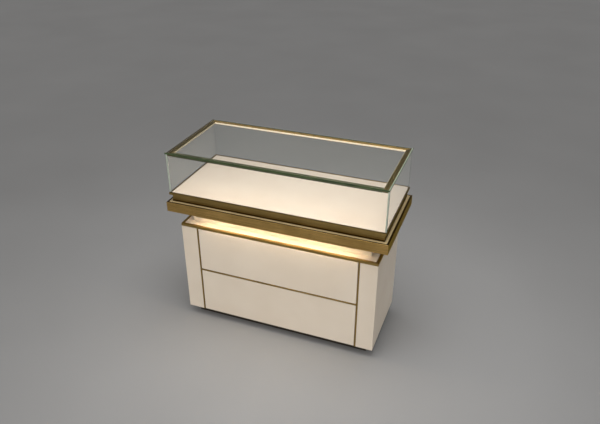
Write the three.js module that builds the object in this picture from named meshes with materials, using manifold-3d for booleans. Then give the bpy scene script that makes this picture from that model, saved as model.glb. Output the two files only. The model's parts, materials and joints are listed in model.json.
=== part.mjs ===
// Display table with drawers: a lacquered cabinet with two press-to-open drawers, a lit neck, a wide
// deck edged in brass, and a glass case whose floor slides out at the back together with the rear pane.
// Millimetres, +Z up. The origin is on the floor under the middle of the table, and the front faces -Y.

import * as THREE from 'three';
import { mergeVertices } from 'three/addons/utils/BufferGeometryUtils.js';
import Module from 'manifold-3d';

// Plinth
const PLINTH_HEIGHT = 48;
const PLINTH_RECESS = 40; // set back from the cabinet's faces
const PLINTH_BOARD = 18;

// Cabinet
const CABINET_LENGTH = 1010;
const CABINET_DEPTH = 416;
const CABINET_HEIGHT = 512; // from its bottom edge to the top of the brass rim
const CARCASS_BOARD = 18;
const BACK_BOARD = 12;
const TOP_BOARD = 15; // the rim is as high as this board
const STILE_WIDTH = 85; // from the corner to the upright brass strip
const DIVIDER_LEVEL = 255; // middle of the strip and rail between the drawers
const DIVIDER_DEPTH = 80;

// Brass trim on the cabinet
const RIM_WIDTH = 13;
const STRIP_WIDTH = 7;
const STRIP_PROUD = 0.6; // how far the strips stand out of the front

// Drawers
const FRONT_BOARD = 18;
const DRAWER_SIDE = 12;
const DRAWER_BACK = 12;
const DRAWER_BOTTOM = 6;
const BOTTOM_RISE = 12; // underside of the bottom above the lower edge of the sides
const GROOVE_DEPTH = 5; // how far the bottom is let into the sides
const DRAWER_ROOM_BELOW = 12;
const DRAWER_ROOM_ABOVE = 24;
const DRAWER_ROOM_BEHIND = 36;

// Drawer runners, three nested channels of steel sheet
const RUNNER_THICKNESS = 12.7;
const RUNNER_HEIGHT = 45;
const RUNNER_SHEET = 1.5;
const RUNNER_RISE = 30; // above the lower edge of the drawer's sides
const RUNNER_SETBACK = 3; // behind the front edge of the partition

// Neck
const NECK_INSET = 45; // set back from the cabinet's faces
const NECK_HEIGHT = 81;
const NECK_BOARD = 15;

// Power inlet and lamp driver in the neck
const INLET_FROM_END = 160; // from the right end of the neck to the middle of the inlet
const INLET_WIDTH = 28;
const INLET_HEIGHT = 20;
const INLET_FLANGE = 4; // round the opening
const INLET_FLANGE_THICKNESS = 3;
const INLET_TAIL = 8; // behind the neck's board
const INLET_WALL = 3;
const INLET_SOCKET_DEPTH = 15;
const DRIVER_LENGTH = 180;
const DRIVER_DEPTH = 50;
const DRIVER_HEIGHT = 30;
const DRIVER_DISTANCE = 20; // from the tail of the inlet

// Light strip under the deck
const NECK_LIGHT_WIDTH = 16;
const NECK_LIGHT_HEIGHT = 10;
const NECK_LIGHT_DISTANCE = 55; // from the front of the neck
const NECK_LIGHT_END_INSET = 60; // from the ends of the neck

// Light bar in the case
const CASE_LIGHT_WIDTH = 13;
const CASE_LIGHT_HEIGHT = 11;

// Both lights
const LIGHT_SHEET = 1.5;
const DIFFUSER_THICKNESS = 2;

// Deck
const DECK_OVERHANG_X = 45; // beyond the cabinet
const DECK_OVERHANG_Y = 39;
const DECK_HEIGHT = 50;
const DECK_TRIM = 10; // brass band

// Riser and sill under the glass
const RISER_SETBACK = 24; // from the edge of the deck
const RISER_HEIGHT = 38;
const RISER_WALL = 18;
const SILL_OVERHANG_X = 9; // beyond the riser
const SILL_OVERHANG_Y = 15;
const SILL_HEIGHT = 12;
const SILL_FLANGE = 4; // thin inner part, under the edge of the display board
const SILL_LIP = 1; // of the thick outer part, inside the glass

// Glass case
const CASE_HEIGHT = 209; // from the sill to the top of the glass
const PANE = 8;
const TOP_PANE = 8;
const FRAME_WIDTH = 22;
const FRAME_HEIGHT = 10;

// Display tray
const DISPLAY_BOARD = 18;
const TRAY_RUNNER_WIDTH = 40;
const TRAY_RUNNER_HEIGHT = 18;
const TRAY_RUNNER_SHEET = 2;
const TRAY_RUNNER_INSET = 12; // from the inside of the riser
const TRAY_RUNNER_SETBACK = 3; // from the riser's front wall and the fascia
const FINGER_SLOT_LENGTH = 90;
const FINGER_SLOT_HEIGHT = 20;

// Clearances
const SEAT_GAP = 0.3; // hairline between pieces that butt or rest on each other
const RUNNER_PLAY = 0.5; // between members that slide in each other
const DRAWER_REVEAL = 2; // visible gap round a drawer front
const PRESS_ROOM = 4; // behind a drawer front, for the press that releases it
const TRAY_ROOM = 1.5; // between the sliding tray and the fixed case

// Finishes
const CREAM_LACQUER = { color: 0xe6dac6, roughness: 0.45, metalness: 0 };
const BRUSHED_BRASS = { color: 0x94713a, roughness: 0.35, metalness: 1 };
const BLACK_PLINTH = { color: 0x24221f, roughness: 0.6, metalness: 0 };
const DRAWER_WOOD = { color: 0xd9c7a6, roughness: 0.55, metalness: 0 };
const ZINC_STEEL = { color: 0xa9abad, roughness: 0.35, metalness: 1 };
const ALUMINIUM = { color: 0x8d8873, roughness: 0.4, metalness: 1 };
const OPAL_DIFFUSER = { color: 0xfff0d2, roughness: 0.5, metalness: 0 };
const CLEAR_GLASS = { color: 0xc6d8c8, roughness: 0.03, metalness: 0, transparent: true, opacity: 0.3 };
const BLACK_PLASTIC = { color: 0x1c1c1d, roughness: 0.5, metalness: 0 };
const WHITE_PLASTIC = { color: 0xe4e4e0, roughness: 0.5, metalness: 0 };

// Places that several pieces share
const cabinetX = CABINET_LENGTH / 2;
const cabinetY = CABINET_DEPTH / 2;
const carcassFront = -cabinetY + FRONT_BOARD + PRESS_ROOM;
const carcassTop = CABINET_HEIGHT - TOP_BOARD;
const backFace = cabinetY - BACK_BOARD;
const bayX = cabinetX - STILE_WIDTH - STRIP_WIDTH;
const neckX = cabinetX - NECK_INSET;
const neckY = cabinetY - NECK_INSET;
const inletX = neckX - INLET_FROM_END;
const deckX = cabinetX + DECK_OVERHANG_X;
const deckY = cabinetY + DECK_OVERHANG_Y;
const riserX = deckX - RISER_SETBACK;
const riserY = deckY - RISER_SETBACK;
const riserInnerX = riserX - RISER_WALL;
const riserInnerY = riserY - RISER_WALL;
const glassX = riserX + SILL_OVERHANG_X;
const glassY = riserY + SILL_OVERHANG_Y;
const sillTop = RISER_HEIGHT + SILL_HEIGHT;
const flangeTop = RISER_HEIGHT + SILL_FLANGE;
const caseTop = sillTop + CASE_HEIGHT;
const underTopPane = caseTop - TOP_PANE - SEAT_GAP;
const sillBar = PANE + SILL_LIP;
const trayInnerX = riserInnerX - TRAY_ROOM;
const trayOuterX = glassX - sillBar - TRAY_ROOM;
const trayUnderside = sillTop - DISPLAY_BOARD;

const AXIS_X = new THREE.Vector3(1, 0, 0);
const AXIS_Y = new THREE.Vector3(0, 1, 0);
const AXIS_Z = new THREE.Vector3(0, 0, 1);
const BACKWARD = AXIS_Y.clone().negate();
const SIDES = [{ side: 'left', sign: -1 }, { side: 'right', sign: 1 }];

const wasm = await Module();
wasm.setup();

// A span about the middle, and a span on one side of it.
const across = (half) => [-half, half];
const onSide = (sign, inner, outer) => (sign > 0 ? [inner, outer] : [-outer, -inner]);

/** A box from its spans along X, Y and Z. */
function box([x0, x1], [y0, y1], [z0, z1]) {
  const geometry = new THREE.BoxGeometry(x1 - x0, y1 - y0, z1 - z0);
  return geometry.translate((x0 + x1) / 2, (y0 + y1) / 2, (z0 + z1) / 2);
}

/** A shape drawn in X and Y, raised over a span of Z. */
function raise(shape, [z0, z1]) {
  const geometry = new THREE.ExtrudeGeometry(shape, { depth: z1 - z0, bevelEnabled: false });
  return geometry.translate(0, 0, z0);
}

/** A section drawn in Y and Z, run over a span of X. */
function runAlongX(section, [x0, x1]) {
  const geometry = new THREE.ExtrudeGeometry(section, { depth: x1 - x0, bevelEnabled: false });
  geometry.applyMatrix4(new THREE.Matrix4().makeBasis(AXIS_Y, AXIS_Z, AXIS_X));
  return geometry.translate(x0, 0, 0);
}

/** A section drawn in X and Z, run over a span of Y. */
function runAlongY(section, [y0, y1]) {
  const geometry = new THREE.ExtrudeGeometry(section, { depth: y1 - y0, bevelEnabled: false });
  geometry.applyMatrix4(new THREE.Matrix4().makeBasis(AXIS_X, AXIS_Z, BACKWARD));
  return geometry.translate(0, y1, 0);
}

/** A closed outline through the given points. */
function outline(points) {
  return new THREE.Shape(points.map(([u, v]) => new THREE.Vector2(u, v)));
}

/** A rectangular ring about the middle, with walls of one thickness. */
function ring(halfX, halfY, wall, spanZ) {
  const corners = (x, y) => [[-x, -y], [x, -y], [x, y], [-x, y]];
  const shape = outline(corners(halfX, halfY));
  shape.holes.push(outline(corners(halfX - wall, halfY - wall)));
  return raise(shape, spanZ);
}

/** A three-sided ring, closed at closedY and open at openY. */
function openRing(halfX, closedY, openY, wallX, wallY, spanZ) {
  const innerX = halfX - wallX;
  const innerY = closedY + Math.sign(openY - closedY) * wallY;
  const shape = outline([
    [-halfX, openY], [-halfX, closedY], [halfX, closedY], [halfX, openY],
    [innerX, openY], [innerX, innerY], [-innerX, innerY], [-innerX, openY],
  ]);
  return raise(shape, spanZ);
}

/** Section of a channel of sheet: its web lies on v = web, and its flanges reach to v = mouth. */
function channel([u0, u1], web, mouth, sheet) {
  const inside = web + Math.sign(mouth - web) * sheet;
  return [
    [u0, web], [u1, web], [u1, mouth], [u1 - sheet, mouth],
    [u1 - sheet, inside], [u0 + sheet, inside], [u0 + sheet, mouth], [u0, mouth],
  ];
}

/** The closed solid of a geometry, ready to join or cut. */
function solid(geometry) {
  const bare = geometry.clone();
  bare.deleteAttribute('normal');
  bare.deleteAttribute('uv');
  const merged = mergeVertices(bare);
  const vertProperties = new Float32Array(merged.attributes.position.array);
  const triVerts = new Uint32Array(merged.index.array);
  return new wasm.Manifold(new wasm.Mesh({ numProp: 3, vertProperties, triVerts }));
}

/** The geometry of a solid. */
function surface(body) {
  const { vertProperties, triVerts } = body.getMesh();
  const geometry = new THREE.BufferGeometry();
  geometry.setAttribute('position', new THREE.BufferAttribute(vertProperties, 3));
  geometry.setIndex(new THREE.BufferAttribute(triVerts, 1));
  geometry.computeVertexNormals();
  return geometry;
}

/** One geometry from several that overlap or share faces. */
function join(first, ...others) {
  return surface(others.reduce((body, other) => body.add(solid(other)), solid(first)));
}

/** A geometry with others taken out of it. */
function cut(first, ...others) {
  return surface(others.reduce((body, other) => body.subtract(solid(other)), solid(first)));
}

/** A named sub-part with a material of its own. */
function piece(name, finish, geometry) {
  const mesh = new THREE.Mesh(geometry, new THREE.MeshStandardMaterial(finish));
  mesh.name = name;
  return mesh;
}

/** A group of sub-parts standing at a level above the floor. */
function assembly(level, pieces) {
  const group = new THREE.Group();
  group.position.z = level;
  group.add(...pieces);
  return group;
}

/** Recessed dark frame that the table stands on. */
function plinth() {
  const frame = ring(cabinetX - PLINTH_RECESS, cabinetY - PLINTH_RECESS, PLINTH_BOARD, [0, PLINTH_HEIGHT]);
  return assembly(0, [piece('plinth_frame', BLACK_PLINTH, frame)]);
}

/** Boards of the cabinet, from its bottom edge up. */
function carcass() {
  const behindFront = [carcassFront + SEAT_GAP, backFace - SEAT_GAP];
  const betweenSides = across(cabinetX - CARCASS_BOARD - SEAT_GAP);
  const fullHeight = [0, carcassTop];
  const railY = [carcassFront + SEAT_GAP, carcassFront + DIVIDER_DEPTH];
  const railZ = [DIVIDER_LEVEL - CARCASS_BOARD / 2, DIVIDER_LEVEL + CARCASS_BOARD / 2];
  const topX = across(cabinetX - RIM_WIDTH - SEAT_GAP);
  const topY = across(cabinetY - RIM_WIDTH - SEAT_GAP);
  const topZ = [carcassTop + SEAT_GAP, CABINET_HEIGHT];
  const pieces = [
    piece('bottom_panel', CREAM_LACQUER, box(betweenSides, behindFront, [SEAT_GAP, CARCASS_BOARD])),
    piece('back_panel', CREAM_LACQUER, box(betweenSides, [backFace, cabinetY], fullHeight)),
    piece('drawer_divider', CREAM_LACQUER, box(across(bayX - SEAT_GAP), railY, railZ)),
    piece('cabinet_top', CREAM_LACQUER, box(topX, topY, topZ)),
  ];
  for (const { side, sign } of SIDES) {
    const sideX = onSide(sign, cabinetX - CARCASS_BOARD, cabinetX);
    const sideY = [carcassFront + SEAT_GAP, cabinetY];
    const partitionX = onSide(sign, bayX, bayX + CARCASS_BOARD);
    const partitionZ = [CARCASS_BOARD + SEAT_GAP, carcassTop];
    const stileX = onSide(sign, bayX + STRIP_WIDTH + SEAT_GAP, cabinetX);
    pieces.push(
      piece(`side_panel_${side}`, CREAM_LACQUER, box(sideX, sideY, fullHeight)),
      piece(`partition_${side}`, CREAM_LACQUER, box(partitionX, behindFront, partitionZ)),
      piece(`front_stile_${side}`, CREAM_LACQUER, box(stileX, [-cabinetY, carcassFront], fullHeight)),
    );
  }
  return assembly(PLINTH_HEIGHT, pieces);
}

/** Brass rim round the cabinet's top and brass strips round the drawer fronts. */
function cabinetTrim() {
  const stripY = [-cabinetY - STRIP_PROUD, carcassFront];
  const middleZ = [DIVIDER_LEVEL - STRIP_WIDTH / 2, DIVIDER_LEVEL + STRIP_WIDTH / 2];
  const rim = ring(cabinetX, cabinetY, RIM_WIDTH, [carcassTop + SEAT_GAP, CABINET_HEIGHT]);
  const pieces = [
    piece('brass_rim', BRUSHED_BRASS, rim),
    piece('brass_strip_middle', BRUSHED_BRASS, box(across(bayX - SEAT_GAP), stripY, middleZ)),
  ];
  for (const { side, sign } of SIDES) {
    const stripX = onSide(sign, bayX, bayX + STRIP_WIDTH);
    pieces.push(piece(`brass_strip_${side}`, BRUSHED_BRASS, box(stripX, stripY, [0, carcassTop])));
  }
  return assembly(PLINTH_HEIGHT, pieces);
}

/** The three nested members of one runner, between the partition and the drawer's side. */
function runner(drawer, side, sign, baseZ, spanY) {
  const wallX = bayX - SEAT_GAP;
  const step = RUNNER_SHEET + RUNNER_PLAY;
  const flangeEnd = RUNNER_THICKNESS - step;
  const member = (inset, web, mouth) => {
    const spanZ = [baseZ + inset, baseZ + RUNNER_HEIGHT - inset];
    const points = channel(spanZ, wallX - web, wallX - mouth, RUNNER_SHEET);
    return runAlongY(outline(points.map(([z, x]) => [sign * x, z])), spanY);
  };
  const name = `${drawer}_runner_${side}`;
  return [
    piece(`${name}_fixed`, ZINC_STEEL, member(0, 0, flangeEnd)),
    piece(`${name}_middle`, ZINC_STEEL, member(step, step, flangeEnd)),
    piece(`${name}_sliding`, ZINC_STEEL, member(2 * step, RUNNER_THICKNESS, 2 * step)),
  ];
}

/** One drawer with its runners, in a bay between two boards. */
function drawer(name, [bayFloor, bayCeiling], frontZ) {
  const frontY = [-cabinetY, -cabinetY + FRONT_BOARD];
  const boxX = bayX - RUNNER_THICKNESS - 2 * SEAT_GAP;
  const boxY = [frontY[1] + SEAT_GAP, backFace - DRAWER_ROOM_BEHIND];
  const boxZ = [bayFloor + DRAWER_ROOM_BELOW, bayCeiling - DRAWER_ROOM_ABOVE];
  const innerX = boxX - DRAWER_SIDE;
  const bottomZ = [boxZ[0] + BOTTOM_RISE, boxZ[0] + BOTTOM_RISE + DRAWER_BOTTOM];
  const bottomX = innerX + GROOVE_DEPTH - SEAT_GAP;
  const grooveZ = [bottomZ[0] - SEAT_GAP, bottomZ[1] + SEAT_GAP];
  const grooveY = [boxY[0] - SEAT_GAP, boxY[1] + SEAT_GAP];
  const backY = [boxY[1] - DRAWER_BACK, boxY[1]];
  const backZ = [bottomZ[1] + SEAT_GAP, boxZ[1]];
  const runnerY = [carcassFront + SEAT_GAP + RUNNER_SETBACK, boxY[1]];
  const pieces = [
    piece(`${name}_front`, CREAM_LACQUER, box(across(bayX - DRAWER_REVEAL), frontY, frontZ)),
    piece(`${name}_bottom`, DRAWER_WOOD, box(across(bottomX), boxY, bottomZ)),
    piece(`${name}_back`, DRAWER_WOOD, box(across(innerX - SEAT_GAP), backY, backZ)),
  ];
  for (const { side, sign } of SIDES) {
    const board = box(onSide(sign, innerX, boxX), boxY, boxZ);
    const groove = box(onSide(sign, innerX - SEAT_GAP, innerX + GROOVE_DEPTH), grooveY, grooveZ);
    pieces.push(
      piece(`${name}_side_${side}`, DRAWER_WOOD, cut(board, groove)),
      ...runner(name, side, sign, boxZ[0] + RUNNER_RISE, runnerY),
    );
  }
  return assembly(PLINTH_HEIGHT, pieces);
}

/** Lower and upper drawer, on either side of the rail between them. */
function drawers() {
  const rail = CARCASS_BOARD / 2;
  const strip = STRIP_WIDTH / 2 + DRAWER_REVEAL;
  const lowerFront = [DRAWER_REVEAL, DIVIDER_LEVEL - strip];
  const upperFront = [DIVIDER_LEVEL + strip, carcassTop - DRAWER_REVEAL];
  return [
    drawer('lower_drawer', [CARCASS_BOARD, DIVIDER_LEVEL - rail], lowerFront),
    drawer('upper_drawer', [DIVIDER_LEVEL + rail, carcassTop], upperFront),
  ];
}

/** Light channel that opens downwards, and the opal strip in its mouth. */
function light(name, spanX, [y0, y1], topZ, height) {
  const section = channel([y0, y1], topZ, topZ - height, LIGHT_SHEET);
  const inset = LIGHT_SHEET + SEAT_GAP;
  const diffuserY = [y0 + inset, y1 - inset];
  const diffuserZ = [topZ - height, topZ - height + DIFFUSER_THICKNESS];
  return [
    piece(`${name}_channel`, ALUMINIUM, runAlongX(outline(section), spanX)),
    piece(`${name}_diffuser`, OPAL_DIFFUSER, box(spanX, diffuserY, diffuserZ)),
  ];
}

/** Power inlet in the neck's rear wall: a flanged body with a socket. */
function powerInlet() {
  const rectangle = (margin) => [
    [inletX - INLET_WIDTH / 2 + margin, inletX + INLET_WIDTH / 2 - margin],
    [(NECK_HEIGHT - INLET_HEIGHT) / 2 + margin, (NECK_HEIGHT + INLET_HEIGHT) / 2 - margin],
  ];
  const slab = ([spanX, spanZ], spanY) => box(spanX, spanY, spanZ);
  const mouth = neckY + SEAT_GAP + INLET_FLANGE_THICKNESS;
  const tail = neckY - NECK_BOARD - INLET_TAIL;
  const flange = slab(rectangle(-INLET_FLANGE), [neckY + SEAT_GAP, mouth]);
  const body = slab(rectangle(SEAT_GAP), [tail, mouth]);
  const socket = slab(rectangle(INLET_WALL), [mouth - INLET_SOCKET_DEPTH, mouth + SEAT_GAP]);
  const wallHole = slab(rectangle(0), [neckY - NECK_BOARD - SEAT_GAP, neckY + SEAT_GAP]);
  return { inlet: cut(join(flange, body), socket), wallHole, tail };
}

/** Neck between cabinet and deck, with its lamp driver, inlet and light strip. */
function neck() {
  const { inlet, wallHole, tail } = powerInlet();
  const walls = ring(neckX, neckY, NECK_BOARD, [SEAT_GAP, NECK_HEIGHT]);
  const driverX = [inletX - DRIVER_LENGTH / 2, inletX + DRIVER_LENGTH / 2];
  const driverY = [tail - DRIVER_DISTANCE - DRIVER_DEPTH, tail - DRIVER_DISTANCE];
  const driver = box(driverX, driverY, [SEAT_GAP, DRIVER_HEIGHT]);
  const lightBack = -neckY - NECK_LIGHT_DISTANCE;
  const lightX = across(neckX - NECK_LIGHT_END_INSET);
  const lightY = [lightBack - NECK_LIGHT_WIDTH, lightBack];
  return assembly(PLINTH_HEIGHT + CABINET_HEIGHT, [
    piece('neck_riser', CREAM_LACQUER, cut(walls, wallHole)),
    piece('power_inlet', BLACK_PLASTIC, inlet),
    piece('led_driver', WHITE_PLASTIC, driver),
    ...light('neck_light', lightX, lightY, NECK_HEIGHT, NECK_LIGHT_HEIGHT),
  ]);
}

/** Thick board over the neck and the brass band round its edge. */
function deck() {
  const inset = DECK_TRIM + SEAT_GAP;
  const board = box(across(deckX - inset), across(deckY - inset), [SEAT_GAP, DECK_HEIGHT]);
  return assembly(PLINTH_HEIGHT + CABINET_HEIGHT + NECK_HEIGHT, [
    piece('deck_board', CREAM_LACQUER, board),
    piece('deck_trim', BRUSHED_BRASS, ring(deckX, deckY, DECK_TRIM, [0, DECK_HEIGHT])),
  ]);
}

/** Fixed part of the glass case: riser and sill, open at the back, panes, top frame and light bar. */
function glassCase() {
  const riser = openRing(riserX, -riserY, riserY, RISER_WALL, RISER_WALL, [SEAT_GAP, RISER_HEIGHT]);
  const sillWallX = RISER_WALL + SILL_OVERHANG_X;
  const sillWallY = RISER_WALL + SILL_OVERHANG_Y;
  const sillZ = [RISER_HEIGHT + SEAT_GAP, sillTop];
  const sillBlock = openRing(glassX, -glassY, glassY, sillWallX, sillWallY, sillZ);
  const rebateY = [-glassY + sillBar, glassY + SEAT_GAP];
  const rebate = box(across(glassX - sillBar), rebateY, [flangeTop, sillTop + SEAT_GAP]);
  const paneZ = [sillTop + SEAT_GAP, underTopPane];
  const frontY = [-glassY, -glassY + PANE];
  const insideFront = frontY[1] + SEAT_GAP;
  const frameX = glassX - PANE - SEAT_GAP;
  const frameBack = glassY - PANE - TRAY_ROOM;
  const frameZ = [underTopPane - FRAME_HEIGHT, underTopPane];
  const frame = openRing(frameX, frameBack, insideFront, FRAME_WIDTH, FRAME_WIDTH, frameZ);
  const lightX = across(frameX - FRAME_WIDTH - SEAT_GAP);
  const lightY = [insideFront, insideFront + CASE_LIGHT_WIDTH];
  const pieces = [
    piece('case_riser', BRUSHED_BRASS, riser),
    piece('glass_sill', BRUSHED_BRASS, cut(sillBlock, rebate)),
    piece('glass_front', CLEAR_GLASS, box(across(glassX), frontY, paneZ)),
    piece('glass_top', CLEAR_GLASS, box(across(glassX), across(glassY), [caseTop - TOP_PANE, caseTop])),
    piece('top_frame', BRUSHED_BRASS, frame),
    ...light('case_light', lightX, lightY, underTopPane, CASE_LIGHT_HEIGHT),
  ];
  for (const { side, sign } of SIDES) {
    const paneX = onSide(sign, glassX - PANE, glassX);
    pieces.push(piece(`glass_${side}`, CLEAR_GLASS, box(paneX, [insideFront, glassY], paneZ)));
  }
  return pieces;
}

/** Rear fascia of the tray: a wall with a finger slot, and above it the rear stretch of the sill. */
function trayFascia() {
  const slotZ = [(trayUnderside - FINGER_SLOT_HEIGHT) / 2, (trayUnderside + FINGER_SLOT_HEIGHT) / 2];
  const slotY = [riserInnerY - SEAT_GAP, riserY + SEAT_GAP];
  const wall = box(across(trayInnerX), [riserInnerY, riserY], [TRAY_ROOM, flangeTop]);
  const ledge = box(across(trayInnerX), [riserInnerY, glassY], [RISER_HEIGHT, flangeTop + RUNNER_PLAY]);
  const bar = box(across(trayOuterX), [glassY - sillBar, glassY], [flangeTop + RUNNER_PLAY, sillTop]);
  return cut(join(wall, ledge, bar), box(across(FINGER_SLOT_LENGTH / 2), slotY, slotZ));
}

/** Sliding tray: the display board, the rear fascia and pane, and the runners under the board. */
function tray() {
  const boardTopY = [-glassY + sillBar + TRAY_ROOM, glassY - sillBar - SEAT_GAP];
  const boardY = [-riserInnerY + TRAY_ROOM, riserInnerY - SEAT_GAP];
  const boardTopZ = [flangeTop + 2 * RUNNER_PLAY, sillTop];
  const board = box(across(trayInnerX), boardY, [trayUnderside, boardTopZ[0]]);
  const boardTop = box(across(trayOuterX), boardTopY, boardTopZ);
  const paneX = across(glassX - PANE - TRAY_ROOM);
  const paneZ = [sillTop + SEAT_GAP, caseTop - TOP_PANE - TRAY_ROOM];
  const runnerY = across(riserInnerY - TRAY_RUNNER_SETBACK);
  const slidingInset = TRAY_RUNNER_SHEET + RUNNER_PLAY;
  const slidingZ = [trayUnderside - SEAT_GAP, SEAT_GAP + slidingInset];
  const pieces = [
    piece('display_board', CREAM_LACQUER, join(board, boardTop)),
    piece('tray_fascia', BRUSHED_BRASS, trayFascia()),
    piece('glass_rear', CLEAR_GLASS, box(paneX, [glassY - PANE, glassY], paneZ)),
  ];
  for (const { side, sign } of SIDES) {
    const outer = riserInnerX - TRAY_RUNNER_INSET;
    const [x0, x1] = onSide(sign, outer - TRAY_RUNNER_WIDTH, outer);
    const fixed = channel([x0, x1], SEAT_GAP, TRAY_RUNNER_HEIGHT, TRAY_RUNNER_SHEET);
    const slidingX = [x0 + slidingInset, x1 - slidingInset];
    const sliding = channel(slidingX, ...slidingZ, TRAY_RUNNER_SHEET);
    pieces.push(
      piece(`tray_runner_${side}_fixed`, ZINC_STEEL, runAlongY(outline(fixed), runnerY)),
      piece(`tray_runner_${side}_sliding`, ZINC_STEEL, runAlongY(outline(sliding), runnerY)),
    );
  }
  return pieces;
}

const displayTable = new THREE.Group();
displayTable.name = 'display_table';
displayTable.add(plinth(), carcass(), cabinetTrim(), ...drawers(), neck(), deck());
displayTable.add(
  assembly(PLINTH_HEIGHT + CABINET_HEIGHT + NECK_HEIGHT + DECK_HEIGHT, [...glassCase(), ...tray()]),
);

export default displayTable;
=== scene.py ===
"""Looks of a glazed display table with two drawers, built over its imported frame."""

from __future__ import annotations

import json
import logging
import math
from collections.abc import Iterable, Sequence
from dataclasses import dataclass, field
from enum import Enum

import bmesh
import bpy
import numpy as np
from numpy.typing import NDArray
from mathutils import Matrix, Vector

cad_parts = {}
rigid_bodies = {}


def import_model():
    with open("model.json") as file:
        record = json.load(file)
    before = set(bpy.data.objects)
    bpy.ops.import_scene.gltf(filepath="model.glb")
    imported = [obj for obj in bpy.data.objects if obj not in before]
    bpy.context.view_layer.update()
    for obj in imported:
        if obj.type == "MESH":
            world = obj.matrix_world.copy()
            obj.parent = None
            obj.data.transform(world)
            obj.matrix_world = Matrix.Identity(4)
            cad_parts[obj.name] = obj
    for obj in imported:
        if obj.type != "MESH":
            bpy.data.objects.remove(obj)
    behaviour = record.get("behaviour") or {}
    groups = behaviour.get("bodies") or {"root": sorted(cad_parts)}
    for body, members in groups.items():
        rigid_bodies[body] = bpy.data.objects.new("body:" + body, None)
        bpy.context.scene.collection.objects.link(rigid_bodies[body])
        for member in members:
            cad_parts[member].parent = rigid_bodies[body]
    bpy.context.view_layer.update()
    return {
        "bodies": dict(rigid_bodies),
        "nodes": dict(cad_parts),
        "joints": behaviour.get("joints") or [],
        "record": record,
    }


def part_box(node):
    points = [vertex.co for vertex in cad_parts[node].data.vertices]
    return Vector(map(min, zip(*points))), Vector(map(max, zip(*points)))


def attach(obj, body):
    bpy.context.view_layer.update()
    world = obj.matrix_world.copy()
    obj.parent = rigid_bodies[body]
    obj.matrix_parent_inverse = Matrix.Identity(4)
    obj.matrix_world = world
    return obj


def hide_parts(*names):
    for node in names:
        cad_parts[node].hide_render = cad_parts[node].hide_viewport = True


Array = NDArray[np.float64]
Socket = bpy.types.NodeSocket
MM = 0.001
NOISE_MIDDLE = (0.3, 0.7)  # nearly all values of a noise lie between these
ROUND_POINTS = 4  # points in the quarter turn of a rounded edge, with both its ends
MERGE_DISTANCE = 1e-6
LEAST_EDGE = 1e-7
SHARP_ANGLE = math.radians(50)
BEVEL_ANGLE = math.radians(40)
WELD_DISTANCE = 0.01 * MM
SHEET_EDGE = 0.3 * MM  # arris of bent sheet metal and extrusions
log = logging.getLogger("display_table")


class Axis(Enum):
    """The direction that a pattern or a bar follows."""

    X = 0
    Y = 1
    Z = 2


class Sides(Enum):
    """Which sides of a rectangular frame have a bar."""

    ALL = "all"
    OPEN_REAR = "open rear"
    OPEN_FRONT = "open front"


def linear(hex_colour: str) -> tuple[float, float, float, float]:
    """Turns an sRGB hex colour into linear light.

    Args:
        hex_colour: six hex digits after a hash.

    Returns:
        Red, green, blue and a full alpha.
    """
    coded = np.array([int(hex_colour[i : i + 2], 16) for i in (1, 3, 5)]) / 255
    light = np.where(coded <= 0.04045, coded / 12.92, ((coded + 0.055) / 1.055) ** 2.4)
    return (*light.tolist(), 1.0)


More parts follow.
